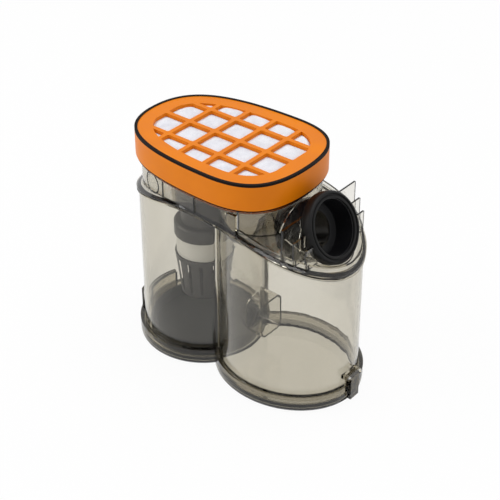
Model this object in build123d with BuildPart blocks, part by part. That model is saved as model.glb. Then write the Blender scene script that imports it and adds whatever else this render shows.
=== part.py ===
from build123d import *
import os
from math import cos, radians, sin, sqrt

# Cyclone dust bin of a canister vacuum cleaner, in millimetres.
# The origin is on the cyclone's axis, on the face that the bin stands on.
# +X runs towards the dust lobe and the inlet, +Z is up.

# Plan of the two-lobed bin: a round cyclone lobe and a longer dust lobe
cyclone_radius = 50.0
dust_offset = 88.0
dust_half_length = 58.8
dust_half_width = 49.9
bin_wall = 2.2
valley_radius = 3.0

# Bottom door and the bin's foot flange above it
door_height = 10.0
door_rounding = 5.5
floor_thickness = 4.0
rim_out = 4.2
lip_clearance = 1.2
rim_gap = 0.4
foot_thickness = 5.2
door_seal_height = 1.2
door_seal_side = 0.4

# Hinge of the door at the dust end
hinge_out = 5.2
hinge_height = 25.0
knuckle_radius = 4.0
barrel_half_length = 8.0
lug_thickness = 4.0
hinge_side_gap = 0.4
hinge_wall_gap = 0.6
pin_radius = 1.5
pin_clearance = 0.05

# Snap tongue of the door and its catch on the bin, at the cyclone end
tongue_half_width = 19.6
tongue_gap = 1.2
tongue_thickness = 2.0
tongue_top = 25.5
catch_half_width = 16.5
catch_out = 3.2
catch_top = 27.0

# Arched seam between the bin and the upper housing
seam_apex_x = 30.0
seam_apex_height = 150.5
seam_radius = 240.0
seam_seal_thickness = 1.0
seam_clearance = 0.3
flange_out = 2.8
bin_flange_thickness = 1.8
roof_thickness = 1.8
gasket_inset = 0.6
upstand_height = 4.0
upstand_thickness = 1.6
upstand_inset = 0.6
upstand_start = 70.0

# Egg-shaped filter on top
filter_widest_x = 51.2
filter_reach_left = 101.2
filter_reach_right = 51.4
filter_half_width = 55.7
filter_fullness = 0.713
filter_bottom = 170.7
filter_height = 21.2
filter_wall = 3.0
filter_top_thickness = 3.0
filter_floor_thickness = 1.5
window_inset = 13.5
grid_pitch_x = 25.1
grid_pitch_y = 25.0
grid_bar = 3.6
grid_corner = 1.5
grid_columns = 5
grid_rows = 4
skirt_depth = 6.0
skirt_thickness = 1.5
skirt_clearance = 0.6
media_clearance = 0.2
top_seal_width = 2.2
top_seal_depth = 1.5
top_seal_proud = 0.5
base_seal_thickness = 1.4
base_seal_inset = 0.5
base_seal_width = 3.5

# Collar of the upper housing under the filter
collar_inset = 4.0
housing_wall = 2.2
seat_inset = 1.5
seat_thickness = 2.0
pad_start = 37.0
pad_end = 76.0
pad_thickness = 3.0
pad_skirt_gap = 0.5
fin_thickness = 1.6
fin_stations = (114.0, 121.5, 129.0)
fin_tops = (160.0, 153.0, 146.0)

# Inlet: a straight black tube with a soft lip, tilted up towards its mouth
inlet_x = 127.4
inlet_height = 150.5
inlet_tilt = 26.7
bore_radius = 21.2
bore_depth = 14.0
throat_radius = 19.0
tube_radius = 24.5
tube_length = 38.0
lip_radius = 27.6
lip_depth = 7.5
lip_front = 2.0
lip_relief = 0.4
lip_rounding = 2.2
lip_room = 0.4
pocket_wall = 1.8
pocket_end = 2.0
pocket_front = 3.0
inlet_fit = 0.1

# Channel from the inlet tube to the cyclone
channel_wall = 2.5
channel_bend = 60.0
channel_gap = 0.2
notch_clearance = 0.4

# Mouthpiece between the cyclone and the dust lobe
duct_side = 8.0
duct_height = 36.0
duct_width = 26.0
duct_tall = 34.0
duct_corner = 7.0
duct_wall = 1.8
duct_end = 64.0
duct_fit = 0.1

# Shroud that hangs in the cyclone
neck_radius = 21.3
neck_wall = 2.8
neck_top = 143.0
spigot_bottom = 128.0
spigot_wall = 2.4
neck_clearance = 0.3
cap_radius = 27.0
cap_wall = 2.0
cap_bottom = 98.0
cap_shoulder = 113.0
cap_crown = 118.0
neck_seal_height = 136.0
neck_seal_section = 1.6
neck_seal_squeeze = 0.1
mesh_bottom = 80.0
mesh_thickness = 0.6
mesh_gap = 0.15
post_wall = 1.6
post_count = 4
post_width = 4.0
post_window_margin = 2.0
collar_depth = 7.0
collar_fit = 0.2
grille_radius = 25.0
grille_foot_radius = 19.0
grille_bottom = 42.0
grille_wall = 1.8
slot_count = 14
slot_width = 2.6
slot_margin = 4.0

# Cone that forms the floor of the cyclone
cone_gap = 2.3
cone_foot_height = 3.0
cone_top_radius = 16.0
cone_top_height = 38.0
cone_wall = 2.0

# Places that follow from the sizes above
bin_end = dust_offset + dust_half_length
lip_bottom = floor_thickness + door_seal_height
foot_bottom = door_height + rim_gap
foot_top = foot_bottom + foot_thickness
hinge_x = bin_end + hinge_out
hinge_face = bin_end + hinge_wall_gap
lug_half_length = barrel_half_length + hinge_side_gap + lug_thickness
tongue_inner = cyclone_radius + rim_out + tongue_gap
tongue_outer = tongue_inner + tongue_thickness
bin_top = -seam_seal_thickness / 2
roof_bottom = seam_seal_thickness / 2
roof_top = roof_bottom + roof_thickness
seat_height = filter_bottom - base_seal_thickness
filter_top = filter_bottom + filter_height
filter_middle = filter_widest_x + (filter_reach_right - filter_reach_left) / 2
half_span = 2 * (cyclone_radius + dust_half_width)
channel_bore = throat_radius
channel_radius = channel_bore + channel_wall
pocket_depth = lip_depth + lip_room + pocket_end
inlet_axis = Vector(cos(radians(inlet_tilt)), 0, sin(radians(inlet_tilt)))
inlet_plane = Plane(origin=(inlet_x, 0, inlet_height), x_dir=(0, 1, 0), z_dir=inlet_axis)


def seam_height(x):
    """Height of the arched seam above a place along the bin."""
    return seam_apex_height - seam_radius + sqrt(seam_radius**2 - (x - seam_apex_x) ** 2)


blank_low = seam_height(bin_end + flange_out) - seam_clearance - 4 * bin_flange_thickness
blank_high = filter_bottom


def bin_outline(height, grow=0.0):
    """Plan of both lobes, with the valley between them."""
    with BuildSketch(Plane.XY.offset(height)) as outline:
        Circle(cyclone_radius + grow)
        with Locations((dust_offset, 0)):
            Ellipse(dust_half_length + grow, dust_half_width + grow)
    return outline.sketch


def cyclone_room(height, grow=0.0):
    """Round room inside the cyclone tube."""
    with BuildSketch(Plane.XY.offset(height)) as outline:
        Circle(cyclone_radius - bin_wall + grow)
    return outline.sketch


def dust_room(height, grow=0.0):
    """Room of the dust lobe, outside the cyclone tube."""
    with BuildSketch(Plane.XY.offset(height)) as outline:
        with Locations((dust_offset, 0)):
            Ellipse(dust_half_length - bin_wall + grow, dust_half_width - bin_wall + grow)
        Circle(cyclone_radius - grow, mode=Mode.SUBTRACT)
    return outline.sketch


def seam_outline(height, grow=0.0):
    """Plan of the seam, which bridges the valley between the lobes."""
    cyclone_side = cyclone_radius + grow
    dust_side = dust_half_width + grow
    with BuildSketch(Plane.XY.offset(height)) as outline:
        with BuildLine():
            CenterArc((0, 0), cyclone_side, 90, 180)
            Line((0, -cyclone_side), (dust_offset, -dust_side))
            EllipticalCenterArc((dust_offset, 0), dust_half_length + grow, dust_side, -90, arc_size=180)
            Line((dust_offset, dust_side), (0, cyclone_side))
        make_face()
    return outline.sketch


def oval(height, inset=0.0):
    """Plan of the filter, drawn in by an inset: two full quarter curves and their mirror."""
    side = filter_half_width - inset
    with BuildSketch(Plane.XY.offset(height)) as outline:
        with BuildLine():
            for reach in (inset - filter_reach_left, filter_reach_right - inset):
                Bezier(
                    (filter_widest_x + reach, 0),
                    (filter_widest_x + reach, -filter_fullness * side),
                    (filter_widest_x + filter_fullness * reach, -side),
                    (filter_widest_x, -side),
                )
            mirror(about=Plane.XZ)
        make_face()
    return outline.sketch


def under_arch(grow=0.0):
    """Side view of everything below the arched seam."""
    with BuildSketch(Plane.XZ) as disc:
        with Locations((seam_apex_x, seam_apex_height - seam_radius)):
            Circle(seam_radius + grow)
    return disc.sketch


def upstand_outline(height):
    """Plan of the low rib that follows the rim of the roof at the dust end."""
    with BuildSketch(Plane.XY.offset(height)) as outline:
        add(seam_outline(0, -upstand_inset))
        add(seam_outline(0, -upstand_inset - upstand_thickness), mode=Mode.SUBTRACT)
        with Locations((upstand_start, 0)):
            Rectangle(half_span, half_span, align=(Align.MIN, Align.CENTER), mode=Mode.INTERSECT)
    return outline.sketch


def arched(outline, low, high):
    """Plate of the given plan that follows the seam between two offsets from it."""
    with BuildPart() as plate:
        extrude(outline, amount=blank_high - blank_low)
        extrude(under_arch(low), amount=half_span, both=True, mode=Mode.SUBTRACT)
        extrude(under_arch(high), amount=half_span, both=True, mode=Mode.INTERSECT)
    return plate.part


def ring(height, outer, *inner):
    """Outer plan with the inner plans cut out, raised to a height."""
    with BuildSketch(Plane.XY.offset(height)) as outline:
        add(outer)
        for room in inner:
            add(room, mode=Mode.SUBTRACT)
    return outline.sketch


def pan(outline):
    """Shallow pan with a rounded lower edge."""
    with BuildPart() as dish:
        extrude(outline, amount=door_height)
        fillet(dish.edges().group_by(Axis.Z)[0], radius=door_rounding)
    return dish.part


def channel_path():
    """Line of the channel: it leaves the tube along the inlet's axis and levels out."""
    start = inlet_plane.origin - inlet_axis * (tube_length + channel_gap)
    with BuildLine(Plane.XZ) as line:
        bend = JernArc((start.X, start.Z), (-inlet_axis.X, -inlet_axis.Z), channel_bend, -inlet_tilt)
        Line(bend @ 1, (0, (bend @ 1).Z))
    return line.line


def channel_rod(radius):
    """Solid rod along the channel's line."""
    path = channel_path()
    with BuildPart() as rod:
        with BuildSketch(Plane(origin=path @ 0, z_dir=path % 0)):
            Circle(radius)
        sweep(path=path)
    return rod.part


def inlet_rod(radius, start, length):
    """Solid rod along the inlet's axis, from a place measured outwards from the mouth."""
    with BuildPart() as rod:
        with BuildSketch(inlet_plane.offset(start)):
            Circle(radius)
        extrude(amount=length)
    return rod.part


def end_sector(height, inner, outer, half_width):
    """Plan of a curved strip at the cyclone end."""
    with BuildSketch(Plane.XY.offset(height)) as strip:
        Circle(outer)
        Circle(inner, mode=Mode.SUBTRACT)
        with Locations((-outer, 0)):
            Rectangle(outer, 2 * half_width, mode=Mode.INTERSECT)
    return strip.sketch


channel_height = (channel_path() @ 1).Z
channel_blank = channel_rod(channel_radius)
channel_passage = channel_rod(channel_bore)
channel_hole = channel_rod(channel_radius + inlet_fit)
tube_hole = inlet_rod(tube_radius + inlet_fit, -tube_length, tube_length + inlet_x)
lip_hole = inlet_rod(lip_radius + lip_room, -lip_depth - lip_room, lip_depth + inlet_x)

# Bin shell: both lobes, the foot flange, the seam flange and the cyclone tube
bin_flange = arched(seam_outline(blank_low, flange_out), bin_top - bin_flange_thickness, bin_top)

with BuildPart() as bin_shell:
    extrude(bin_outline(lip_bottom), amount=blank_high - lip_bottom)
    valley = bin_shell.edges().filter_by(Axis.Z).group_by(Axis.X)[0]
    fillet(valley, radius=valley_radius)
    extrude(under_arch(bin_top), amount=half_span, both=True, mode=Mode.INTERSECT)
    extrude(bin_outline(foot_bottom, rim_out), amount=foot_thickness)
    add(bin_flange)
    # Hinge lugs on both sides of the door's barrel
    with BuildSketch(Plane.XZ) as lug:
        with Locations((hinge_x, hinge_height)):
            Circle(knuckle_radius)
            Rectangle(hinge_out + bin_wall, 2 * knuckle_radius, align=(Align.MAX, Align.CENTER))
    extrude(amount=lug_half_length, both=True)
    with BuildSketch(Plane.XY.offset(foot_bottom - rim_gap)) as hinge_space:
        with Locations((bin_end, 0)):
            Rectangle(
                2 * (hinge_out + knuckle_radius),
                2 * (barrel_half_length + hinge_side_gap),
                align=(Align.MIN, Align.CENTER),
            )
    extrude(amount=hinge_height + 2 * knuckle_radius - foot_bottom, mode=Mode.SUBTRACT)
    # Catch that the door's tongue snaps over
    catch = end_sector(foot_top, cyclone_radius - bin_wall / 2, cyclone_radius + catch_out, catch_half_width)
    extrude(catch, amount=catch_top - foot_top)
    # Rooms
    extrude(cyclone_room(lip_bottom), amount=blank_high - lip_bottom, mode=Mode.SUBTRACT)
    extrude(dust_room(lip_bottom), amount=blank_high - lip_bottom, mode=Mode.SUBTRACT)
    # Bore of the hinge pin
    with BuildSketch(Plane.XZ):
        with Locations((hinge_x, hinge_height)):
            Circle(pin_radius + pin_clearance)
    extrude(amount=lug_half_length, both=True, mode=Mode.SUBTRACT)
    # Notch for the inlet channel, open at the top so that the housing lifts off
    with BuildSketch(Plane.YZ) as notch:
        with Locations((0, channel_height)):
            Circle(channel_radius + notch_clearance)
            Rectangle(
                2 * (channel_radius + notch_clearance),
                blank_high - channel_height,
                align=(Align.CENTER, Align.MIN),
            )
    extrude(amount=dust_offset, mode=Mode.SUBTRACT)
    # Window for the mouthpiece
    with BuildSketch(Plane.YZ) as window:
        with Locations((duct_side, duct_height)):
            RectangleRounded(duct_width + 2 * duct_fit, duct_tall + 2 * duct_fit, duct_corner + duct_fit)
    extrude(amount=dust_offset, mode=Mode.SUBTRACT)

# Mouthpiece: a rounded-rectangular pipe that ends flush with the inside of the cyclone
with BuildPart() as dust_duct:
    with BuildSketch(Plane.YZ):
        with Locations((duct_side, duct_height)):
            RectangleRounded(duct_width, duct_tall, duct_corner)
            RectangleRounded(
                duct_width - 2 * duct_wall,
                duct_tall - 2 * duct_wall,
                duct_corner - duct_wall,
                mode=Mode.SUBTRACT,
            )
    extrude(amount=duct_end)
    extrude(cyclone_room(0), amount=filter_bottom, mode=Mode.SUBTRACT)

# Pin of the door's hinge
with BuildPart() as hinge_pin:
    with BuildSketch(Plane.XZ):
        with Locations((hinge_x, hinge_height)):
            Circle(pin_radius)
    extrude(amount=lug_half_length, both=True)

# Bottom door: two pans joined, with a hinge arm and a snap tongue
with BuildSketch() as cyclone_pan_plan:
    Circle(cyclone_radius + rim_out)
with BuildSketch() as dust_pan_plan:
    with Locations((dust_offset, 0)):
        Ellipse(dust_half_length + rim_out, dust_half_width + rim_out)
cyclone_pan = pan(cyclone_pan_plan.sketch)
dust_pan = pan(dust_pan_plan.sketch)

with BuildPart() as bottom_door:
    add(cyclone_pan)
    add(dust_pan)
    extrude(bin_outline(floor_thickness, lip_clearance), amount=door_height, mode=Mode.SUBTRACT)
    # Hinge arm and barrel
    with BuildSketch(Plane.XZ) as arm:
        with Locations((hinge_x, hinge_height)):
            Circle(knuckle_radius)
        with Locations((hinge_x + knuckle_radius, hinge_height)):
            Rectangle(
                hinge_x + knuckle_radius - hinge_face,
                hinge_height - floor_thickness,
                align=(Align.MAX, Align.MAX),
            )
    extrude(amount=barrel_half_length, both=True)
    with BuildSketch(Plane.XZ):
        with Locations((hinge_x, hinge_height)):
            Circle(pin_radius + pin_clearance)
    extrude(amount=barrel_half_length, both=True, mode=Mode.SUBTRACT)
    # Snap tongue and its root in the rim
    root = end_sector(floor_thickness, tongue_inner - 2 * tongue_gap, tongue_outer, tongue_half_width)
    extrude(root, amount=door_height - floor_thickness)
    tongue = end_sector(floor_thickness, tongue_inner, tongue_outer, tongue_half_width)
    extrude(tongue, amount=tongue_top - floor_thickness)

# Soft seal under the bin's lower edge and under the cyclone tube
with BuildPart() as door_seal:
    extrude(
        ring(
            floor_thickness,
            bin_outline(0, door_seal_side),
            cyclone_room(0, -door_seal_side),
            dust_room(0, -door_seal_side),
        ),
        amount=door_seal_height,
    )

# Cone on the door that forms the floor of the cyclone
cone_radius = cyclone_radius - bin_wall - cone_gap
with BuildPart() as cyclone_cone:
    with BuildSketch(Plane.XZ):
        with BuildLine():
            Polyline(
                (cone_radius, floor_thickness),
                (cone_radius, floor_thickness + cone_foot_height),
                (cone_top_radius, cone_top_height),
                (0, cone_top_height),
                (0, cone_top_height - cone_wall),
                (cone_top_radius - cone_wall / 2, cone_top_height - cone_wall),
                (cone_radius - cone_wall, floor_thickness + cone_foot_height - cone_wall / 2),
                (cone_radius - cone_wall, floor_thickness),
                close=True,
            )
        make_face()
    revolve(axis=Axis.Z)

# Upper housing: collar, roof, fins, shroud spigot and inlet pocket
roof = arched(seam_outline(blank_low, flange_out), roof_bottom, roof_top)
upstand = arched(upstand_outline(blank_low), roof_bottom, roof_top + upstand_height)
with BuildPart() as spigot:
    with BuildSketch(Plane.XY.offset(spigot_bottom)):
        Circle(neck_radius + neck_clearance + spigot_wall)
    extrude(amount=blank_high - spigot_bottom)
    extrude(under_arch(roof_bottom), amount=half_span, both=True, mode=Mode.INTERSECT)
with BuildPart() as pocket:
    add(inlet_rod(lip_radius + lip_room + pocket_wall, -pocket_depth, pocket_depth + pocket_front))
    extrude(under_arch(roof_top), amount=half_span, both=True, mode=Mode.INTERSECT)

with BuildPart() as upper_housing:
    extrude(oval(blank_low, collar_inset), amount=seat_height - blank_low)
    extrude(oval(seat_height - seat_thickness, seat_inset), amount=seat_thickness)
    extrude(oval(blank_low, collar_inset + housing_wall), amount=blank_high - blank_low, mode=Mode.SUBTRACT)
    # Thick pads inside the long sides
    pad_middle = (pad_start + pad_end) / 2
    pad_side = filter_half_width - collar_inset - housing_wall
    with Locations((pad_middle, pad_side, blank_low), (pad_middle, -pad_side, blank_low)):
        Box(
            pad_end - pad_start,
            pad_thickness,
            filter_bottom - skirt_depth - pad_skirt_gap - blank_low,
            align=(Align.CENTER, Align.CENTER, Align.MIN),
        )
    # Gusset fins across the roof, beside the inlet
    for station, top in zip(fin_stations, fin_tops):
        reach = sqrt(1 - ((station - dust_offset) / dust_half_length) ** 2)
        with Locations((station, 0, blank_low)):
            Box(
                fin_thickness,
                2 * dust_half_width * reach,
                top - blank_low,
                align=(Align.CENTER, Align.CENTER, Align.MIN),
            )
    extrude(under_arch(roof_bottom), amount=half_span, both=True, mode=Mode.SUBTRACT)
    add(roof)
    add(upstand)
    add(spigot.part)
    add(pocket.part)
    # Openings for the shroud's neck and for the inlet
    with BuildSketch(Plane.XY.offset(spigot_bottom)):
        Circle(neck_radius + neck_clearance)
    extrude(amount=blank_high - spigot_bottom, mode=Mode.SUBTRACT)
    add(tube_hole, mode=Mode.SUBTRACT)
    add(lip_hole, mode=Mode.SUBTRACT)
    add(channel_hole, mode=Mode.SUBTRACT)

# Gasket in the seam, over the bin's walls and the cyclone tube
gasket_outline = ring(
    blank_low,
    seam_outline(0, flange_out - gasket_inset),
    cyclone_room(0),
    dust_room(0),
)
gasket_blank = arched(gasket_outline, bin_top + seam_clearance, roof_bottom)
with BuildPart() as housing_seal:
    add(gasket_blank)
    add(channel_hole, mode=Mode.SUBTRACT)
    add(tube_hole, mode=Mode.SUBTRACT)

# Black inlet tube with a socket for the hose
with BuildPart() as inlet_tube:
    add(inlet_rod(tube_radius, -tube_length, tube_length))
    add(inlet_rod(throat_radius, -tube_length, tube_length), mode=Mode.SUBTRACT)
    add(inlet_rod(bore_radius, -bore_depth, bore_depth), mode=Mode.SUBTRACT)

# Soft lip round the mouth of the tube
with BuildPart() as inlet_seal:
    add(inlet_rod(lip_radius, -lip_depth, lip_depth + lip_front))
    add(inlet_rod(tube_radius + inlet_fit, -lip_depth, lip_depth), mode=Mode.SUBTRACT)
    add(inlet_rod(bore_radius + lip_relief, 0, lip_front), mode=Mode.SUBTRACT)
    outer_edges = inlet_seal.edges().filter_by(GeomType.CIRCLE).group_by(SortBy.RADIUS)[-1]
    fillet(outer_edges, radius=lip_rounding)

# Channel from the tube to the cyclone, flush with the inside of the cyclone tube
with BuildPart() as inlet_channel:
    add(channel_blank)
    add(channel_passage, mode=Mode.SUBTRACT)
    extrude(cyclone_room(0), amount=filter_bottom, mode=Mode.SUBTRACT)

# Cap of the shroud, with the neck that hangs in the housing's spigot
cap_inner = cap_radius - cap_wall
neck_inner = neck_radius - neck_wall
with BuildPart() as shroud_cap:
    with BuildSketch(Plane.XZ):
        with BuildLine():
            Polyline(
                (neck_inner, neck_top),
                (neck_radius, neck_top),
                (neck_radius, cap_crown),
                (cap_radius, cap_shoulder),
                (cap_radius, cap_bottom),
                (cap_inner, cap_bottom),
                (cap_inner, cap_shoulder - cap_wall / 2),
                (neck_inner, cap_crown - cap_wall / 2),
                close=True,
            )
        make_face()
        with Locations((neck_radius, neck_seal_height)):
            Rectangle(2 * neck_seal_section, neck_seal_section, mode=Mode.SUBTRACT)
    revolve(axis=Axis.Z)

# Ring seal in the groove of the neck
with BuildPart() as shroud_seal:
    with BuildSketch(Plane.XZ):
        with Locations((neck_radius + neck_clearance - neck_seal_squeeze, neck_seal_height)):
            Rectangle(
                neck_seal_section + neck_clearance - 2 * neck_seal_squeeze,
                neck_seal_section - neck_seal_squeeze,
                align=(Align.MAX, Align.CENTER),
            )
    revolve(axis=Axis.Z)

# Grille of the shroud: posts behind the mesh and a slotted cone below it
post_radius = cap_inner - collar_fit - mesh_thickness - mesh_gap
with BuildPart() as shroud_grille:
    with BuildSketch(Plane.XZ):
        with BuildLine():
            Polyline(
                (0, grille_bottom),
                (grille_foot_radius, grille_bottom),
                (grille_radius, mesh_bottom - grille_wall),
                (grille_radius, mesh_bottom),
                (post_radius, mesh_bottom),
                (post_radius, cap_bottom),
                (cap_inner - collar_fit, cap_bottom),
                (cap_inner - collar_fit, cap_bottom + collar_depth),
                (post_radius - post_wall, cap_bottom + collar_depth),
                (post_radius - post_wall, mesh_bottom - grille_wall),
                (grille_foot_radius - grille_wall, grille_bottom + grille_wall),
                (0, grille_bottom + grille_wall),
                close=True,
            )
        make_face()
    revolve(axis=Axis.Z)
    # Windows between the posts
    with BuildSketch(Plane.XY.offset(mesh_bottom + post_window_margin)) as post_windows:
        Circle(cap_radius)
        with PolarLocations(cap_radius / 2, post_count):
            Rectangle(cap_radius, post_width, mode=Mode.SUBTRACT)
    extrude(amount=cap_bottom - mesh_bottom - 2 * post_window_margin, mode=Mode.SUBTRACT)
    # Slots of the cone
    with BuildSketch(Plane.XY.offset(grille_bottom + slot_margin)) as slots:
        with PolarLocations(grille_radius / 2 + slot_margin, slot_count):
            Rectangle(grille_radius, slot_width)
    extrude(amount=mesh_bottom - grille_bottom - 2 * slot_margin, mode=Mode.SUBTRACT)

# Mesh band
with BuildPart() as shroud_mesh:
    with BuildSketch(Plane.XY.offset(mesh_bottom + mesh_gap)):
        Circle(post_radius + mesh_gap + mesh_thickness)
        Circle(post_radius + mesh_gap, mode=Mode.SUBTRACT)
    extrude(amount=cap_bottom - mesh_bottom - 2 * mesh_gap)

# Filter frame: band, grid and the skirt that plugs into the housing's collar
skirt_inset = collar_inset + housing_wall + skirt_clearance
with BuildPart() as filter_frame:
    extrude(oval(filter_bottom), amount=filter_height)
    extrude(oval(filter_bottom - skirt_depth, skirt_inset), amount=skirt_depth)
    extrude(
        oval(filter_bottom - skirt_depth, skirt_inset + skirt_thickness),
        amount=skirt_depth + filter_floor_thickness,
        mode=Mode.SUBTRACT,
    )
    extrude(
        oval(filter_bottom + filter_floor_thickness, filter_wall),
        amount=filter_height - filter_floor_thickness - filter_top_thickness,
        mode=Mode.SUBTRACT,
    )
    # Grid over the filter pad
    with BuildSketch(Plane.XY.offset(filter_top - filter_top_thickness)) as grid:
        with Locations((filter_middle, 0)):
            with GridLocations(grid_pitch_x, grid_pitch_y, grid_columns, grid_rows):
                RectangleRounded(grid_pitch_x - grid_bar, grid_pitch_y - grid_bar, grid_corner)
        add(oval(0, window_inset), mode=Mode.INTERSECT)
    extrude(amount=filter_top_thickness, mode=Mode.SUBTRACT)
    # Step for the seal round the top edge
    extrude(
        ring(filter_top - top_seal_depth, oval(0, -filter_wall), oval(0, top_seal_width)),
        amount=top_seal_depth,
        mode=Mode.SUBTRACT,
    )

# Filter pad
with BuildPart() as filter_media:
    extrude(
        oval(filter_bottom + filter_floor_thickness, filter_wall + media_clearance),
        amount=filter_height - filter_floor_thickness - filter_top_thickness - media_clearance,
    )

# Seal round the top edge of the filter
with BuildPart() as filter_top_seal:
    extrude(
        ring(filter_top - top_seal_depth, oval(0), oval(0, top_seal_width)),
        amount=top_seal_depth + top_seal_proud,
    )

# Seal between the filter's band and the housing's seat
with BuildPart() as filter_base_seal:
    extrude(
        ring(seat_height, oval(0, base_seal_inset), oval(0, base_seal_inset + base_seal_width)),
        amount=base_seal_thickness,
    )

pieces = {
    "bin_shell": bin_shell,
    "dust_duct": dust_duct,
    "hinge_pin": hinge_pin,
    "bottom_door": bottom_door,
    "door_seal": door_seal,
    "cyclone_cone": cyclone_cone,
    "upper_housing": upper_housing,
    "housing_seal": housing_seal,
    "inlet_tube": inlet_tube,
    "inlet_seal": inlet_seal,
    "inlet_channel": inlet_channel,
    "shroud_cap": shroud_cap,
    "shroud_seal": shroud_seal,
    "shroud_grille": shroud_grille,
    "shroud_mesh": shroud_mesh,
    "filter_frame": filter_frame,
    "filter_media": filter_media,
    "filter_top_seal": filter_top_seal,
    "filter_base_seal": filter_base_seal,
}
os.makedirs("parts", exist_ok=True)
for name, piece in pieces.items():
    piece.part.label = name
    export_step(piece.part, f"parts/{name}.step")
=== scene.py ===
# %% [markdown]
# # A cyclone dust bin, dressed for its picture
# The bin arrives as a set of exact solids: clear walls, a black inlet, an orange filter.
# This lesson gives each of them its real surface, adds the soft and small things that
# the solids leave out, and sets up the light and the camera.

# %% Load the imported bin
from math import atan2, cos, hypot, pi, radians, sin, sqrt

import bmesh
import bpy
from mathutils import Matrix, Vector


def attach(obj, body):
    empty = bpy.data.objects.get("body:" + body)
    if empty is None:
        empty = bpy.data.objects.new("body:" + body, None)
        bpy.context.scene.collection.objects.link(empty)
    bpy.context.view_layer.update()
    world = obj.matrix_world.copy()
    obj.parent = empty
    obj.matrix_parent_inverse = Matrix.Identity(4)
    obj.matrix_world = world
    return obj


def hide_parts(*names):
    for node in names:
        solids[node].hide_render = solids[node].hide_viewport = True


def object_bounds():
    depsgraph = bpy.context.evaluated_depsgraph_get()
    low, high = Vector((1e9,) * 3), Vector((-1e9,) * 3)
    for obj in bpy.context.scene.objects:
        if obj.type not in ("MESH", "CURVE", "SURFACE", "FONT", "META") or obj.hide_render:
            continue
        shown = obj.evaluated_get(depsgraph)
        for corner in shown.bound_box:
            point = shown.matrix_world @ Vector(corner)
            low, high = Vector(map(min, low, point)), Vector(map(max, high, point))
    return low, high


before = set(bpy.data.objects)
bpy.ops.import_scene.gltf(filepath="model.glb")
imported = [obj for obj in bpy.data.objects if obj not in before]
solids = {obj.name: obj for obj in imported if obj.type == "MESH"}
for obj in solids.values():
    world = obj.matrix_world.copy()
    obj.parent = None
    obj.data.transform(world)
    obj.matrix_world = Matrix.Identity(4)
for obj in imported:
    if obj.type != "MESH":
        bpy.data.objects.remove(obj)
cad_low, cad_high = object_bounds()
print("solids loaded:", len(solids), "height in metres:", round(cad_high.z, 4))

# %% [markdown]
# ## Where the camera stands
# The picture was taken with a long lens, from above and from the inlet's side. A camera
# can be aimed with a constraint, but three plain axes, worked out from the two viewing
# angles, say the same thing without any hidden rule.

# %% Camera
view_azimuth = radians(39.15)
view_elevation = radians(33.73)
view_distance = 1.1181
aim_right = 0.03751
aim_up = 0.06402
lens_mm = 95.06

right = Vector((cos(view_azimuth), sin(view_azimuth), 0))
back = Vector((sin(view_azimuth) * cos(view_elevation),
               -cos(view_azimuth) * cos(view_elevation), sin(view_elevation)))
up = back.cross(right)
camera_place = right * aim_right + up * aim_up + back * view_distance

camera_data = bpy.data.cameras.new("bin_camera")
camera_data.lens = lens_mm
camera = bpy.data.objects.new("bin_camera", camera_data)
camera.matrix_world = Matrix.Translation(camera_place) @ Matrix((right, up, back)).transposed().to_4x4()
bpy.context.scene.collection.objects.link(camera)
bpy.context.scene.camera = camera
bpy.context.scene.view_settings.view_transform = "Standard"
print("camera at", [round(c, 3) for c in camera_place])


# %% [markdown]
# ## Small helpers
# Every finish below is a node tree, and a tree takes many lines when each node and link is
# written out. So a few short functions come first: some add nodes and fill their inputs,
# some start a material or a shared node group, and the last ones put a finish on a solid
# or turn a mesh into a piece of the bin.

# %% Helpers for nodes
colour_inputs, colour_output = (6, 7), 2


def add_node(tree, kind, settings=None, **inputs):
    """Adds a node, sets its properties, then fills or links its inputs by name."""
    node = tree.nodes.new(kind)
    for name, value in (settings or {}).items():
        setattr(node, name, value)
    for name, value in inputs.items():
        fill(tree, node.inputs[name.replace("_", " ")], value)
    return node


def fill(tree, socket, value):
    """A socket is linked, anything else is a plain value."""
    if isinstance(value, bpy.types.NodeSocket):
        tree.links.new(value, socket)
    else:
        socket.default_value = value


def sum_of(tree, operation, *values):
    """A Math node with its inputs in order."""
    node = add_node(tree, "ShaderNodeMath", {"operation": operation})
    for socket, value in zip(node.inputs, values):
        fill(tree, socket, value)
    return node.outputs[0]


def ramp(tree, value, start, end, low=0.0, high=1.0):
    """A straight change from low to high while the value goes from start to end."""
    node = add_node(tree, "ShaderNodeMapRange", Value=value)
    for name, number in (("From Min", start), ("From Max", end), ("To Min", low), ("To Max", high)):
        fill(tree, node.inputs[name], number)
    return node.outputs["Result"]


def mixed(tree, factor, first, second):
    """A colour between two colours."""
    node = add_node(tree, "ShaderNodeMix", {"data_type": "RGBA"})
    fill(tree, node.inputs["Factor"], factor)
    for place, colour in zip(colour_inputs, (first, second)):
        fill(tree, node.inputs[place], colour if isinstance(colour, bpy.types.NodeSocket) else (*colour, 1))
    return node.outputs[colour_output]


# %% Helpers for finishes
def new_finish(name):
    """A material with an empty tree but for its Principled shader and its output."""
    material = bpy.data.materials.new(name)
    material.use_nodes = True
    tree = material.node_tree
    return material, tree, tree.nodes["Principled BSDF"]


def new_group(name, inputs, outputs):
    """An empty shader node group with float sockets, and its input and output nodes."""
    group = bpy.data.node_groups.new(name, "ShaderNodeTree")
    for title, default in inputs:
        socket = group.interface.new_socket(title, in_out="INPUT", socket_type="NodeSocketFloat")
        socket.default_value = default
    for title in outputs:
        group.interface.new_socket(title, in_out="OUTPUT", socket_type="NodeSocketFloat")
    return group, group.nodes.new("NodeGroupInput"), group.nodes.new("NodeGroupOutput")


def use_group(tree, group, **inputs):
    """A node that runs a group inside another tree."""
    node = tree.nodes.new("ShaderNodeGroup")
    node.node_tree = group
    for name, value in inputs.items():
        fill(tree, node.inputs[name.replace("_", " ")], value)
    return node


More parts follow.
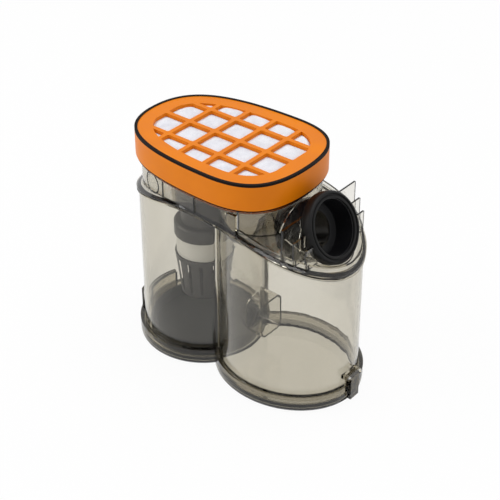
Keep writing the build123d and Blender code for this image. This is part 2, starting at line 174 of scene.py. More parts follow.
# %% Helpers for pieces
def wear(node_name, material):
    """Puts a finish on a solid in every one of its slots."""
    mesh = solids[node_name].data
    mesh.materials.clear()
    mesh.materials.append(material)
    for polygon in mesh.polygons:
        polygon.material_index = 0


def box_of(node_name):
    """Lowest and highest corner of a solid."""
    points = [vertex.co for vertex in solids[node_name].data.vertices]
    return (Vector(min(point[axis] for point in points) for axis in range(3)),
            Vector(max(point[axis] for point in points) for axis in range(3)))


def new_piece(name, shape, material, body):
    """Turns a finished bmesh into a piece that rides on a body."""
    bmesh.ops.recalc_face_normals(shape, faces=shape.faces[:])
    mesh = bpy.data.meshes.new(name)
    shape.to_mesh(mesh)
    shape.free()
    mesh.materials.append(material)
    piece = bpy.data.objects.new(name, mesh)
    bpy.context.scene.collection.objects.link(piece)
    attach(piece, body)
    print(name, "has", len(mesh.polygons), "faces")
    return piece


# %% [markdown]
# ## White ground and white surroundings
# The picture has a plain white ground. The sky lights the bin softly, and the camera,
# mirrors and clear plastic see it as pure white. The floor is part white paint and
# part white glow, so it stays pale and still keeps a faint shadow.

# %% Sky
sky_light = 0.62


def seen_directly(tree):
    """One where the ray comes from the camera, a mirror or clear plastic."""
    path = add_node(tree, "ShaderNodeLightPath")
    mirrored = sum_of(tree, "MAXIMUM", path.outputs["Is Camera Ray"], path.outputs["Is Glossy Ray"])
    return sum_of(tree, "MAXIMUM", mirrored, path.outputs["Is Transmission Ray"])


def shader_mix(tree, factor, first, second):
    """A shader that is the first at factor 0 and the second at 1."""
    blend = add_node(tree, "ShaderNodeMixShader")
    for socket, value in zip(blend.inputs, (factor, first, second)):
        tree.links.new(value, socket)
    return blend.outputs[0]


world = bpy.data.worlds.new("white_surroundings")
bpy.context.scene.world = world
world.use_nodes = True
sky = world.node_tree
sky.nodes.clear()
lighting = add_node(sky, "ShaderNodeBackground", Color=(1, 1, 1, 1), Strength=sky_light)
backdrop = add_node(sky, "ShaderNodeBackground", Color=(1, 1, 1, 1), Strength=1.0)
sky_out = add_node(sky, "ShaderNodeOutputWorld")
sky.links.new(shader_mix(sky, seen_directly(sky), lighting.outputs[0], backdrop.outputs[0]),
              sky_out.inputs["Surface"])
print("sky strength:", sky_light)

# %% Floor
floor_reach = 4.0
floor_drop = 0.0003
floor_glow = 0.94
floor_grey = 0.9
floor_roughness = 0.9

ground = bmesh.new()
bmesh.ops.create_grid(ground, x_segments=1, y_segments=1, size=floor_reach,
                      matrix=Matrix.Translation((0, 0, cad_low.z - floor_drop)))
floor_mesh = bpy.data.meshes.new("floor")
ground.to_mesh(floor_mesh)
ground.free()
floor = bpy.data.objects.new("floor", floor_mesh)
bpy.context.scene.collection.objects.link(floor)

floor_paint, tree, paint = new_finish("pale_floor")
paint.inputs["Base Color"].default_value = (floor_grey, floor_grey, floor_grey, 1)
paint.inputs["Roughness"].default_value = floor_roughness
glow = add_node(tree, "ShaderNodeEmission", Color=(1, 1, 1, 1), Strength=1.0)
share = sum_of(tree, "MULTIPLY", seen_directly(tree), floor_glow)
tree.links.new(shader_mix(tree, share, paint.outputs[0], glow.outputs[0]),
               tree.nodes["Material Output"].inputs["Surface"])
floor_mesh.materials.append(floor_paint)
print("floor at", round(cad_low.z - floor_drop, 4))

# %% Lamps
bin_middle = (cad_low + cad_high) / 2


def soft_lamp(name, place, size, watts):
    """A square area lamp that looks at the middle of the bin."""
    data = bpy.data.lights.new(name, "AREA")
    data.size = size
    data.energy = watts
    lamp = bpy.data.objects.new(name, data)
    lamp.matrix_world = (Matrix.Translation(place)
                         @ (bin_middle - place).to_track_quat("-Z", "Y").to_matrix().to_4x4())
    bpy.context.scene.collection.objects.link(lamp)


soft_lamp("left_window", Vector((-1.1, -0.9, 1.1)), size=0.9, watts=9.0)
soft_lamp("top_box", Vector((0.3, 0.2, 1.6)), size=1.0, watts=8.0)

# %% [markdown]
# ## Shared surface effects
# Injection-moulded plastic is never evenly shiny. Its skin has a faint cloudiness from
# the tool and fine grain. A node group makes both once, and each plastic below uses it
# with its own values. A second group finds the bin's foot: the rim that stands outside
# both lobes, where the plastic is doubled. The darkness there is painted shade in the colour.

# %% Moulded skin
cloud_band = (0.3, 0.7)

skin, skin_in, skin_out = new_group(
    "moulded_skin",
    (("Grain Scale", 900.0), ("Cloud Scale", 35.0), ("Smoothest", 0.2), ("Roughest", 0.35)),
    ("Roughness", "Height", "Cloud"))
place = skin.nodes.new("ShaderNodeTexCoord").outputs["Object"]
grain = add_node(skin, "ShaderNodeTexNoise", Vector=place, Scale=skin_in.outputs["Grain Scale"], Detail=2.0)
cloud = add_node(skin, "ShaderNodeTexNoise", Vector=place, Scale=skin_in.outputs["Cloud Scale"], Detail=3.0)
skin.links.new(ramp(skin, cloud.outputs["Fac"], *cloud_band, skin_in.outputs["Smoothest"],
                    skin_in.outputs["Roughest"]), skin_out.inputs["Roughness"])
skin.links.new(grain.outputs["Fac"], skin_out.inputs["Height"])
skin.links.new(ramp(skin, cloud.outputs["Fac"], *cloud_band), skin_out.inputs["Cloud"])
print("group sockets:", [s.name for s in skin.interface.items_tree])

# %% Foot of the bin, a mask for painted shade
cyclone_side = 0.0500
dust_centre = 0.088
lobe_reach = (0.0588, 0.0499)
rim_out = 0.0042
rim_band = (0.92, 0.96)
foot_top = 0.0156
foot_blend = 0.0006
hinge_blend = 0.01

foot, _, foot_out = new_group("foot_shade_of_the_bin", (), ("Rim", "Foot"))
place = foot.nodes.new("ShaderNodeTexCoord").outputs["Object"]


def lobe_distance(centre, reach_x, reach_y):
    """Distance from a lobe's axis: one on its outer edge."""
    moved = add_node(foot, "ShaderNodeVectorMath", {"operation": "SUBTRACT"})
    fill(foot, moved.inputs[0], place)
    fill(foot, moved.inputs[1], (centre, 0, 0))
    scaled = add_node(foot, "ShaderNodeVectorMath", {"operation": "MULTIPLY"})
    fill(foot, scaled.inputs[0], moved.outputs[0])
    fill(foot, scaled.inputs[1], (1 / reach_x, 1 / reach_y, 0))
    length = add_node(foot, "ShaderNodeVectorMath", {"operation": "LENGTH"})
    fill(foot, length.inputs[0], scaled.outputs[0])
    return length.outputs["Value"]


nearest = sum_of(foot, "MINIMUM", lobe_distance(0, cyclone_side + rim_out, cyclone_side + rim_out),
                 lobe_distance(dust_centre, *(reach + rim_out for reach in lobe_reach)))
spot = add_node(foot, "ShaderNodeSeparateXYZ", Vector=place)
low_part = ramp(foot, spot.outputs["Z"], foot_top + foot_blend, foot_top)
hinge_end = ramp(foot, spot.outputs["X"], dust_centre, dust_centre + hinge_blend)
foot.links.new(low_part, foot_out.inputs["Foot"])
foot.links.new(sum_of(foot, "MULTIPLY", sum_of(foot, "MAXIMUM", low_part, hinge_end),
                      ramp(foot, nearest, *rim_band)), foot_out.inputs["Rim"])
print("foot group outputs:", [s.name for s in foot.interface.items_tree])


# %% [markdown]
# ## Clear smoky plastic
# The bin's walls are tinted right through, so a thin wall looks pale and an edge, where
# the eye looks along the plastic, looks nearly black. A tint on the surface can't do
# that. Absorption inside the solid does, because it counts the way the light travels.
# Lamps reach what is inside through a second, plain see-through shader.

# %% Clear smoky plastic
smoke_colour = (0.40, 0.33, 0.14, 1)
smoke_density = 155.0
plastic_ior = 1.49
wall_tints = ((1.0, 1.0, 1.0), (0.97, 0.97, 0.96))
channel_tints = ((0.50, 0.48, 0.45), (0.58, 0.56, 0.53))
# The mark tints are near black. They are painted shade for the darkening seen where the eye looks along the
# plastic of the ring and the ribs.
mark_shade_tints = ((0.04, 0.04, 0.039), (0.07, 0.07, 0.068))
# The rim and foot tints below are painted shade: the door's rim and the bin's foot, where the parts
# overlap, are darkened in the colour.
rim_shade_tint = (0.40, 0.395, 0.385)
foot_shade_tint = (0.70, 0.695, 0.68)


def clear_plastic(name, smoothest, roughest, tints=wall_tints, painted_shade_part=None, painted_shade_tint=None):
    """See-through plastic that darkens with its thickness, with painted shade mixed into the colour of its
    shaded part.
    """
    material, tree, shader = new_finish(name)
    surface = use_group(tree, skin, Smoothest=smoothest, Roughest=roughest)
    tint = mixed(tree, surface.outputs["Cloud"], *tints)
    # The shaded part gets painted shade: its tint is mixed into the colour through the foot group's mask.
    if painted_shade_part:
        tint = mixed(tree, use_group(tree, foot).outputs[painted_shade_part], tint, painted_shade_tint)
    tree.links.new(tint, shader.inputs["Base Color"])
    shader.inputs["Transmission Weight"].default_value = 1.0
    shader.inputs["IOR"].default_value = plastic_ior
    tree.links.new(surface.outputs["Roughness"], shader.inputs["Roughness"])
    path = add_node(tree, "ShaderNodeLightPath")
    lit_through = sum_of(tree, "MAXIMUM", path.outputs["Is Shadow Ray"], path.outputs["Is Diffuse Ray"])
    clear = add_node(tree, "ShaderNodeBsdfTransparent", Color=(1, 1, 1, 1))
    smoke = add_node(tree, "ShaderNodeVolumeAbsorption", Color=smoke_colour, Density=smoke_density)
    output = tree.nodes["Material Output"]
    tree.links.new(shader_mix(tree, lit_through, shader.outputs[0], clear.outputs[0]),
                   output.inputs["Surface"])
    tree.links.new(smoke.outputs[0], output.inputs["Volume"])
    return material


smoky_clear = clear_plastic("smoky_clear", 0.0, 0.05)
mark_shaded_clear = clear_plastic("smoky_mark_shade", 0.05, 0.12, mark_shade_tints)
# The bin's foot and the door's rim get painted shade.
smoky_bin = clear_plastic("smoky_bin", 0.0, 0.05, painted_shade_part="Foot", painted_shade_tint=foot_shade_tint)
smoky_door = clear_plastic("smoky_door", 0.0, 0.06, painted_shade_part="Rim", painted_shade_tint=rim_shade_tint)
wear("dust_duct", smoky_clear)
wear("inlet_channel", clear_plastic("smoky_channel", 0.0, 0.05, channel_tints))
print("clear solids dressed")


# %% [markdown]
# ## Opaque plastics and seals
# The inlet is gloss black, the cone and the shroud are satin dark grey, the filter's
# frame is orange, and all seals are matt black. One function makes them all from two
# close colours and a range of roughness.

# %% Opaque plastics
grain_bump = 0.05
grain_depth = 0.0002


def moulded(name, dark, pale, smoothest, roughest, shine=0.5):
    """An opaque moulded plastic: two close colours, cloudy gloss and a fine grain."""
    material, tree, shader = new_finish(name)
    surface = use_group(tree, skin, Smoothest=smoothest, Roughest=roughest)
    tree.links.new(mixed(tree, surface.outputs["Cloud"], dark, pale), shader.inputs["Base Color"])
    tree.links.new(surface.outputs["Roughness"], shader.inputs["Roughness"])
    shader.inputs["Specular IOR Level"].default_value = shine
    relief = add_node(tree, "ShaderNodeBump", Strength=grain_bump, Distance=grain_depth,
                      Height=surface.outputs["Height"])
    tree.links.new(relief.outputs["Normal"], shader.inputs["Normal"])
    return material


black_gloss = moulded("black_gloss", (0.004, 0.004, 0.005), (0.007, 0.007, 0.008), 0.16, 0.26, 0.4)
shroud_satin = moulded("shroud_satin", (0.048, 0.048, 0.050), (0.064, 0.064, 0.066), 0.34, 0.46)
cone_satin = moulded("cone_satin", (0.009, 0.009, 0.010), (0.014, 0.014, 0.015), 0.40, 0.52, 0.3)
orange_satin = moulded("orange_satin", (0.73, 0.19, 0.002), (0.80, 0.22, 0.003), 0.34, 0.46, 0.15)
seal_rubber = moulded("seal_rubber", (0.004, 0.0025, 0.002), (0.008, 0.005, 0.004), 0.55, 0.7, 0.1)
lip_rubber = moulded("lip_rubber", (0.002, 0.002, 0.002), (0.005, 0.005, 0.005), 0.38, 0.52, 0.2)
wear("filter_frame", orange_satin)
for name in ("door_seal", "shroud_seal", "filter_top_seal", "filter_base_seal"):
    wear(name, seal_rubber)
print("opaque solids dressed")

# %% [markdown]
# ## Woven steel
# The shroud's mesh is far finer than the picture shows. Real wires would take a great many
# faces, so the weave lives in the surface. The angle round the cyclone's axis and the
# height give every point a place on the unrolled band, and two waves that cross there make
# over-and-under threads. The hinge pin is plain drawn steel.

# %% Mesh band and hinge pin
mesh_radius = 0.022
thread_pitch = 0.0007
thread_tints = ((0.78, 0.78, 0.76), (0.98, 0.98, 0.96))
thread_roughness = (0.6, 0.42)
thread_depth = 0.0002
pin_tints = ((0.46, 0.46, 0.47), (0.58, 0.58, 0.59))

weave, weave_in, weave_out = new_group("plain_weave", (("Pitch", thread_pitch),), ("Height", "Thread"))
place = weave.nodes.new("ShaderNodeTexCoord").outputs["Object"]
parts = add_node(weave, "ShaderNodeSeparateXYZ", Vector=place)
angle = sum_of(weave, "ARCTAN2", parts.outputs["Y"], parts.outputs["X"])
around = sum_of(weave, "MULTIPLY", angle, mesh_radius)


def threads(length):
    """A wave along one direction of the band."""
    return sum_of(weave, "SINE", sum_of(weave, "MULTIPLY", sum_of(
        weave, "DIVIDE", length, weave_in.outputs["Pitch"]), pi))


crossing = sum_of(weave, "MULTIPLY", threads(around), threads(parts.outputs["Z"]))
weave.links.new(ramp(weave, crossing, -1.0, 1.0), weave_out.inputs["Height"])
weave.links.new(sum_of(weave, "ABSOLUTE", crossing), weave_out.inputs["Thread"])

mesh_steel, tree, shader = new_finish("mesh_steel")
woven = use_group(tree, weave)
tree.links.new(mixed(tree, woven.outputs["Thread"], *thread_tints), shader.inputs["Base Color"])
shader.inputs["Metallic"].default_value = 0.1
tree.links.new(ramp(tree, woven.outputs["Thread"], 0.0, 1.0, *thread_roughness), shader.inputs["Roughness"])
relief = add_node(tree, "ShaderNodeBump", Strength=0.4, Distance=thread_depth,
                  Height=woven.outputs["Height"])
tree.links.new(relief.outputs["Normal"], shader.inputs["Normal"])

pin_steel, tree, shader = new_finish("pin_steel")
drawn = use_group(tree, skin, Smoothest=0.22, Roughest=0.34)
tree.links.new(mixed(tree, drawn.outputs["Cloud"], *pin_tints), shader.inputs["Base Color"])
tree.links.new(drawn.outputs["Roughness"], shader.inputs["Roughness"])
shader.inputs["Metallic"].default_value = 1.0
print("steel dressed")

# %% [markdown]
# ## Turned pieces
# The shroud, the dish under it and the inlet are round. The solids give them plain
# profiles, and the picture shows finer ones: a slim hood with a bevel, a dish with a
# raised edge, a lip with a groove and a narrow throat. They could be cut from cylinders
# with booleans, but a spun profile gives clean rings. Each one here is a profile of
# radii and heights in millimetres, spun round its axis, and stands for its solid.

# %% Tools for turned pieces
mm = 0.001
turn_steps = 96
edge_round = 0.00025
sharp_angle = radians(30)
grille_wall = 1.8


def spun(shape, profile, closed=True):
    """Adds a body of revolution to a mesh. An open profile starts and ends on the axis."""
    verts = [shape.verts.new((radius * mm, 0, height * mm)) for radius, height in profile]
    edges = [shape.edges.new(pair) for pair in zip(verts, verts[1:])]
    if closed:
        edges.append(shape.edges.new((verts[-1], verts[0])))
    bmesh.ops.spin(shape, geom=verts + edges, cent=(0, 0, 0), axis=(0, 0, 1), angle=2 * pi,
                   steps=turn_steps, use_merge=True)
    bmesh.ops.remove_doubles(shape, verts=shape.verts[:], dist=mm * mm)


def slotted(shape, rows, count, bar_share):
    """Adds a round wall with openings between bars in its second row of faces."""
    bar_steps, gap_steps = 4, 8
    open_row = 1
    stops = [bar_share * step / bar_steps for step in range(bar_steps)]
    stops += [bar_share + (1 - bar_share) * step / gap_steps for step in range(gap_steps)]
    turns = [2 * pi * (sector + stop) / count for sector in range(count) for stop in stops]
    rings = [[shape.verts.new((radius * mm * cos(turn), radius * mm * sin(turn), height * mm))
              for turn in turns] for radius, height in rows]
    faces = []
    for row, (lower, upper) in enumerate(zip(rings, rings[1:])):
        for place in range(len(turns)):
            after = (place + 1) % len(turns)
            if row != open_row or place % len(stops) < bar_steps:
                faces.append(shape.faces.new((lower[place], lower[after], upper[after], upper[place])))
    bmesh.ops.solidify(shape, geom=faces, thickness=grille_wall * mm)


def finished(name, shape, material, body, node_name):
    """Rounds the sharp edges of a turned piece and lets it stand for its solid."""
    bmesh.ops.recalc_face_normals(shape, faces=shape.faces[:])
    sharp = [edge for edge in shape.edges if edge.is_manifold and edge.calc_face_angle() > sharp_angle]
    bmesh.ops.bevel(shape, geom=sharp, offset=edge_round, segments=2, profile=0.5, affect="EDGES",
                    clamp_overlap=True)
    piece = new_piece(name, shape, material, body)
    piece.data.shade_smooth()
    piece.data.set_sharp_from_angle(angle=sharp_angle)
    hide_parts(node_name)


# %% Shroud
hood_profile = (
    (16.0, 142.9), (21.3, 142.9), (21.3, 136.8), (19.7, 136.8), (19.7, 135.2), (21.3, 135.2), (21.3, 129.0),
    (18.0, 127.0), (18.0, 109.5), (22.1, 109.5), (23.6, 108.0), (23.6, 97.5), (22.2, 97.5), (22.2, 107.6),
    (16.0, 107.6))
mesh_profile = ((21.4, 80.1), (22.1, 80.1), (22.1, 97.4), (21.4, 97.4))
cone_rows = ((19.0, 42.0), (19.5, 46.0), (23.0, 76.0), (23.4, 80.0), (21.3, 80.0))
post_rows = ((21.25, 79.5), (21.25, 82.0), (21.25, 95.5), (21.25, 104.0))
slot_count, slot_bar = 14, 0.73
post_count, post_bar = 4, 0.12

shape = bmesh.new()
spun(shape, hood_profile)
finished("shroud_hood", shape, shroud_satin, "housing", "shroud_cap")

shape = bmesh.new()
spun(shape, mesh_profile)
finished("mesh_band", shape, mesh_steel, "housing", "shroud_mesh")

shape = bmesh.new()
slotted(shape, cone_rows, slot_count, slot_bar)
slotted(shape, post_rows, post_count, post_bar)
base_radius, base_low = cone_rows[0]
base_high = base_low + grille_wall
base_profile = ((0, base_low), (base_radius, base_low), (base_radius, base_high), (0, base_high))
spun(shape, base_profile, closed=False)
finished("grille_cone", shape, shroud_satin, "housing", "shroud_grille")

# %% Dish of the cyclone
dish_profile = (
    (0, 8.0), (40.0, 8.0), (43.5, 16.0), (45.5, 16.0), (45.5, 4.05), (43.5, 4.05), (43.5, 6.0), (0, 6.0))

shape = bmesh.new()
spun(shape, dish_profile, closed=False)
finished("cyclone_dish", shape, cone_satin, "door", "cyclone_cone")

# %% Inlet
inlet_tilt = radians(26.7)
inlet_mouth = Vector((0.1274, 0, 0.1505))
pipe_profile = (
    (24.5, -38.0), (24.5, -0.2), (24.2, 0.0), (21.4, 0.0), (21.2, -0.2), (21.2, -17.0),
    (14.5, -17.0), (14.5, -19.5), (19.0, -19.5), (19.0, -38.0))
lip_profile = (
    (24.6, -7.5), (26.0, -7.5), (27.1, -7.0), (27.6, -5.9), (27.6, -0.2), (27.1, 1.2),
    (26.0, 2.0), (25.2, 2.0), (24.9, 0.7), (23.8, 0.7), (23.5, 1.7), (21.9, 1.7),
    (21.6, 1.4), (21.6, 0.05), (24.6, 0.05))
ramp_size = (2.4, 3.2, 3.0)
ramp_depth = 10.7
inlet_frame = Matrix.Translation(inlet_mouth) @ Matrix.Rotation(pi / 2 - inlet_tilt, 4, "Y")

shape = bmesh.new()
spun(shape, pipe_profile)
for side in (-1, 1):
    place = Matrix.Translation((0, side * pipe_profile[0][0] * mm, -ramp_depth * mm))
    block = Matrix.Diagonal((*(mm * length for length in ramp_size), 1))
    bmesh.ops.create_cube(shape, size=1.0, matrix=place @ block)
bmesh.ops.transform(shape, matrix=inlet_frame, verts=shape.verts[:])
finished("inlet_pipe", shape, black_gloss, "housing", "inlet_tube")

shape = bmesh.new()
spun(shape, lip_profile)
bmesh.ops.transform(shape, matrix=inlet_frame, verts=shape.verts[:])
finished("inlet_lip", shape, lip_rubber, "housing", "inlet_seal")

# %% [markdown]
# ## Slimmer edges
# The solids have a sturdy seam and hinge, and the picture shows slim ones. They could be
# modelled again from nothing, but a copy keeps every hole and step that the solid has. So
# each piece here is a copy of its solid, with some points moved: the flanges and the
# gasket are drawn in towards the wall, the hinge shrinks towards its own axis, so that the
# door still turns about it, and the fins reach a little higher. A point that moves along
# the bin follows the arch of the seam or the curve of the wall.

# %% Moves along the seam
arch_apex, arch_radius = 0.030, 0.240
seam_reach = 0.003
edge_share = 0.8
flange_out, flange_slim = 0.0028, 0.0017
gasket_out, gasket_slim = 0.0022, 0.0004
seam_top = 0.1505
gasket_half = 0.0005
flange_taper = 0.6
fins = ((0.1140, 0.1600, 0.1645), (0.1215, 0.1530, 0.1545), (0.1290, 0.1460, 0.1485))
fin_half = 0.0009


def arch_drop(x):
    """How far the arched seam lies under its highest point."""
    return arch_radius - sqrt(arch_radius**2 - (x - arch_apex)**2)


def seam_offset(point):
    """About how far a point lies outside the seam's outline."""
    if point.x > dust_centre:
        share = hypot((point.x - dust_centre) / lobe_reach[0], point.y / lobe_reach[1])
        return (share - 1) * lobe_reach[1]
    if point.x > 0:
        return abs(point.y) - cyclone_side - (lobe_reach[1] - cyclone_side) * point.x / dust_centre
    return hypot(point.x, point.y) - cyclone_side


def drawn_in(point, old, new):
    """Moves a point of the seam's edge to another offset of the outline, and tapers the edge."""
    rise = point.z - seam_top + arch_drop(point.x)
    if abs(rise) > seam_reach or seam_offset(point) < old * edge_share:
        return point
    x, y = point.x, point.y
    if x > dust_centre:
        x = dust_centre + (x - dust_centre) * (lobe_reach[0] + new) / (lobe_reach[0] + old)
        y *= (lobe_reach[1] + new) / (lobe_reach[1] + old)
    elif x > 0:
        y += (new - old) * (1 if y > 0 else -1)
    else:
        x, y = (value * (cyclone_side + new) / (cyclone_side + old) for value in (x, y))
    beyond = max(0.0, abs(rise) - gasket_half) * (1 if rise > 0 else -1)
    rise += beyond * (flange_taper - 1)
    return Vector((x, y, seam_top - arch_drop(x) + rise))


def slim_gasket(point):
    """Draws the gasket's edge in between the flanges."""
    return drawn_in(point, gasket_out, gasket_slim)


def slim_cover(point):
    """Lifts the fins' tops and draws in the housing's flange."""
    for station, old_top, new_top in fins:
        if abs(point.x - station) < fin_half and abs(point.z - old_top) < fin_half / 2:
            return Vector((point.x, point.y, new_top))
    return drawn_in(point, flange_out, flange_slim)


print("the seam falls", round(arch_drop(dust_centre + lobe_reach[0]) / mm, 1), "mm to the inlet's end")

# %% Moves at the hinge
hinge_x, hinge_z = 0.152, 0.025
knuckle = 0.0040
hinge_keep = 0.45
hinge_narrow = 0.65
hinge_half = 0.0125
hinge_foot = 0.0035
near_wall = 0.0002


def wall_curve(y):
    """Outer face of the dust lobe's end."""
    return dust_centre + lobe_reach[0] * sqrt(1 - (y / lobe_reach[1])**2)


def slim_hinge(point):
    """Draws the hinge in towards its axis and its middle. The wall's curve is kept."""
    x, y, z = point
    top = hinge_z + knuckle + near_wall
    if abs(y) > hinge_half or x < wall_curve(y) - near_wall or not hinge_foot < z < top:
        return point
    y *= hinge_narrow
    if abs(z - hinge_z) < knuckle + near_wall:
        z = hinge_z + (z - hinge_z) * hinge_keep
        if hypot(x - hinge_x, point.z - hinge_z) < knuckle + near_wall:
            x = hinge_x + (x - hinge_x) * hinge_keep
    if x > hinge_x:
        x = min(x, hinge_x + knuckle * hinge_keep)
    elif x < wall_curve(point.y) + knuckle:
        x += wall_curve(y) - wall_curve(point.y)
    return Vector((x, y, z))


def slim_bin(point):
    """Draws in the bin's flange and its half of the hinge."""
    return drawn_in(slim_hinge(point), flange_out, flange_slim)


print("the hinge keeps", hinge_keep, "of its thickness")


# %% Slimmer pieces
def reshaped(name, node_name, change, material, body):
    """A copy of a solid with its points moved, which stands for the solid."""
    shape = bmesh.new()
    shape.from_mesh(solids[node_name].data)
    bmesh.ops.remove_doubles(shape, verts=shape.verts[:], dist=mm * mm)
    for vert in shape.verts:
        vert.co = change(vert.co)
    piece = new_piece(name, shape, material, body)
    for layer in [layer for layer in piece.data.attributes if layer.name == "custom_normal"]:
        piece.data.attributes.remove(layer)
    piece.data.shade_smooth()
    piece.data.set_sharp_from_angle(angle=sharp_angle)
    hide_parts(node_name)


reshaped("seam_gasket", "housing_seal", slim_gasket, seal_rubber, "housing")
reshaped("bin_walls", "bin_shell", slim_bin, smoky_bin, "bin")
reshaped("housing_cover", "upper_housing", slim_cover, smoky_clear, "housing")
reshaped("door_pan", "bottom_door", slim_hinge, smoky_door, "door")
reshaped("hinge_rod", "hinge_pin", slim_hinge, pin_steel, "bin")

# %% [markdown]
# ## The filter's fleece
# The fleece is a soft pad that swells a little through every cell of the orange grid. A
# cloth simulation could blow it up, but it is held at every bar, so a formula is enough
# and gives the same shape each time. It starts as a square grid. Each point of the square
# is moved to a place in the egg-shaped frame, then lifted by a dome that is zero under the
# bars. The rim is pulled down at the end, so the pad is a closed body.

# %% Fleece finish
fibre_share, clump_share = 0.6, 0.4
tuft_band = (0.35, 0.65)
fleece_tints = ((0.66, 0.66, 0.72), (0.86, 0.86, 0.90))
fleece_roughness = (0.95, 0.8)
fleece_depth = 0.0004

fleece, tree, shader = new_finish("filter_fleece")
place = tree.nodes.new("ShaderNodeTexCoord").outputs["Object"]
fibres = add_node(tree, "ShaderNodeTexNoise", Vector=place, Scale=1400.0, Detail=4.0, Distortion=1.5)
clumps = add_node(tree, "ShaderNodeTexNoise", Vector=place, Scale=160.0, Detail=2.0)
tuft = sum_of(tree, "MULTIPLY_ADD", fibres.outputs["Fac"], fibre_share,
              sum_of(tree, "MULTIPLY", clumps.outputs["Fac"], clump_share))
tree.links.new(mixed(tree, ramp(tree, tuft, *tuft_band), *fleece_tints), shader.inputs["Base Color"])
tree.links.new(ramp(tree, tuft, *tuft_band, *fleece_roughness), shader.inputs["Roughness"])
shader.inputs["Specular IOR Level"].default_value = 0.15
relief = add_node(tree, "ShaderNodeBump", Strength=0.5, Distance=fleece_depth, Height=tuft)
tree.links.new(relief.outputs["Normal"], shader.inputs["Normal"])
print("fleece finish ready")

# %% Outline of the filter
frame_low, frame_high = box_of("filter_frame")
filter_widest = 0.0512
filter_fullness = 0.713
filter_reaches = (frame_low.x - filter_widest, frame_high.x - filter_widest)
filter_side = frame_high.y


def oval_point(turn, inset):
    """Point of the filter's outline, drawn in by an inset, a share of a full turn round."""
    quarter, share = divmod(4 * turn, 1)
    quarter = int(quarter) % 4
    along = share if quarter % 2 == 0 else 1 - share
    reach = filter_reaches[1] - inset if quarter in (0, 3) else filter_reaches[0] + inset
    side = (filter_side - inset) * (1 if quarter < 2 else -1)
    rest = 1 - along
    ends = rest**3 + 3 * rest**2 * along
    handle = 3 * rest * along**2
    x = reach * (ends + filter_fullness * handle)
    y = side * (along**3 + 3 * rest * along**2 + filter_fullness * 3 * rest**2 * along)
    return Vector((x, y))


print("filter length and width:", round(frame_high.x - frame_low.x, 4), round(2 * filter_side, 4))

# %% Swell of a cell
grid_middle = (frame_low.x + frame_high.x) / 2
cell_pitches = (0.0251, 0.0250)
grid_bar = 0.0036
swell = 0.0022
dome_power = 4


def dome(value, cell_middle, pitch):
    """One in the middle of a cell, zero at its bars."""
    distance = (value - cell_middle + pitch / 2) % pitch - pitch / 2
    share = min(1.0, abs(2 * distance / (pitch - grid_bar)))
    return 1 - share**dome_power


def cell_swell(x, y):
    """How far the fleece stands up at a place."""
    pitch_x, pitch_y = cell_pitches
    return swell * dome(x, grid_middle, pitch_x) * dome(y, pitch_y / 2, pitch_y)


print("swell in the middle cell:", round(cell_swell(grid_middle, cell_pitches[1] / 2), 4))

# %% Fleece pad
media_low, media_high = box_of("filter_media")
pad_inset = 0.0036
window_inset = 0.0135
window_blend = 0.03
pad_clearance = 0.0001
pad_bottom = media_low.z + pad_clearance
pad_top = media_high.z - pad_clearance
pad_steps = 120

shape = bmesh.new()
bmesh.ops.create_grid(shape, x_segments=pad_steps, y_segments=pad_steps, size=1.0)
for vert in shape.verts:
    u, v = vert.co.x, vert.co.y
    disc = Vector((u * sqrt(1 - v * v / 2), v * sqrt(1 - u * u / 2)))
    turn = (atan2(disc.y, disc.x) / (2 * pi)) % 1.0
    edge = oval_point(turn, pad_inset)
    spot = edge * disc.length
    window = oval_point(turn, window_inset).length / edge.length
    inside = max(0.0, min(1.0, (window - disc.length) / window_blend))
    vert.co = (filter_widest + spot.x, spot.y, pad_top)
    vert.co.z += cell_swell(vert.co.x, vert.co.y) * inside
rim = [edge for edge in shape.edges if edge.is_boundary]
wall = bmesh.ops.extrude_edge_only(shape, edges=rim)
for item in wall["geom"]:
    if isinstance(item, bmesh.types.BMVert):
        item.co.z = pad_bottom
bmesh.ops.holes_fill(shape, edges=[edge for edge in shape.edges if edge.is_boundary])
pad = new_piece("filter_pad", shape, fleece, "filter")
pad.data.shade_smooth()
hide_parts("filter_media")

# %% [markdown]
# ## A plain ring on the housing
# The housing carries a round embossed mark below the filter's edge. It is left as a plain
# ring. A bump in the finish could fake it, but clear plastic shows a raised edge by what
# it bends, so the ring is real. It is spun flat first, then bent round the wall: one
# coordinate runs along the collar's outline, one runs up, and one runs outwards.

# %% Ring mark
collar_inset = 0.004
mark_turn = 0.6525
mark_height = 0.1573
mark_radius = 0.0080
mark_width = 0.0014
mark_slope = 0.2
mark_out = 0.00035
mark_lift = 0.00003
mark_steps = 72
turn_step = 0.0005


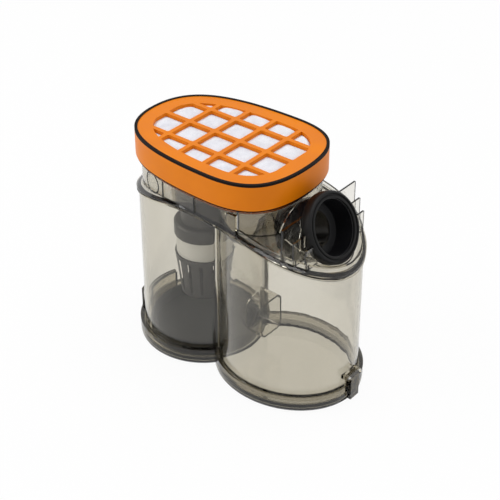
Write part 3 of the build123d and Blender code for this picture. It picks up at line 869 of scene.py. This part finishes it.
def on_collar(turn, along, height, outward):
    """Place on the collar's outer wall: a share of a turn, then a way along it and out of it."""
    way = oval_point(turn + turn_step, collar_inset) - oval_point(turn, collar_inset)
    place = turn + along / (way.length / turn_step)
    spot = oval_point(place, collar_inset)
    ahead = oval_point(place + turn_step, collar_inset) - spot
    normal = Vector((ahead.y, -ahead.x)).normalized()
    return Vector((filter_widest + spot.x + normal.x * outward, spot.y + normal.y * outward, height))


shape = bmesh.new()
corners = [(mark_radius, mark_lift), (mark_radius + mark_width, mark_lift),
           (mark_radius + mark_width * (1 - mark_slope), mark_out),
           (mark_radius + mark_width * mark_slope, mark_out)]
profile = [shape.verts.new((radius, 0, out)) for radius, out in corners]
edges = [shape.edges.new(pair) for pair in zip(profile, profile[1:] + profile[:1])]
bmesh.ops.spin(shape, geom=profile + edges, cent=(0, 0, 0), axis=(0, 0, 1), angle=2 * pi,
               steps=mark_steps, use_merge=True)
for vert in shape.verts:
    vert.co = on_collar(mark_turn, vert.co.x, mark_height + vert.co.y, vert.co.z)
# The ring wears the near-black mark tint, which is painted shade along its raised edge.
new_piece("ring_mark", shape, mark_shaded_clear, "housing")

# %% [markdown]
# ## Upright ribs on the collar
# Three slim ribs stiffen the collar on each side. They could grow out of the housing's own
# mesh, but separate blocks leave it whole. A rib is a small block whose corners are set on
# the collar's wall, from the roof up to the filter's seat. Where a rib stands along the
# bin is known, so a search finds the share of a turn that belongs to it. The ribs wear
# the ring's near-black tint, which is painted shade for the dark seen where the eye looks along their
# plastic.

# %% Ribs
ribs = ((0.003, 0.0010), (0.037, 0.0010), (0.076, 0.0018))
rib_out = 0.0008
rib_top = 0.1692
roof_over_seam = 0.0024
left_end, right_ends = 0.5, (0.0, 1.0)
search_steps = 40


def turn_at(x, last):
    """Share of a turn where one side of the collar reaches a place along the bin."""
    first = left_end
    for _ in range(search_steps):
        middle = (first + last) / 2
        if filter_widest + oval_point(middle, collar_inset).x < x:
            first = middle
        else:
            last = middle
    return (first + last) / 2


shape = bmesh.new()
for station, width in ribs:
    rib_foot = seam_top - arch_drop(station) + roof_over_seam
    for last in right_ends:
        turn = turn_at(station, last)
        for vert in bmesh.ops.create_cube(shape, size=1.0)["verts"]:
            vert.co = on_collar(turn, vert.co.x * width, rib_top if vert.co.z > 0 else rib_foot,
                                rib_out if vert.co.y > 0 else mark_lift)
new_piece("collar_ribs", shape, mark_shaded_clear, "housing")
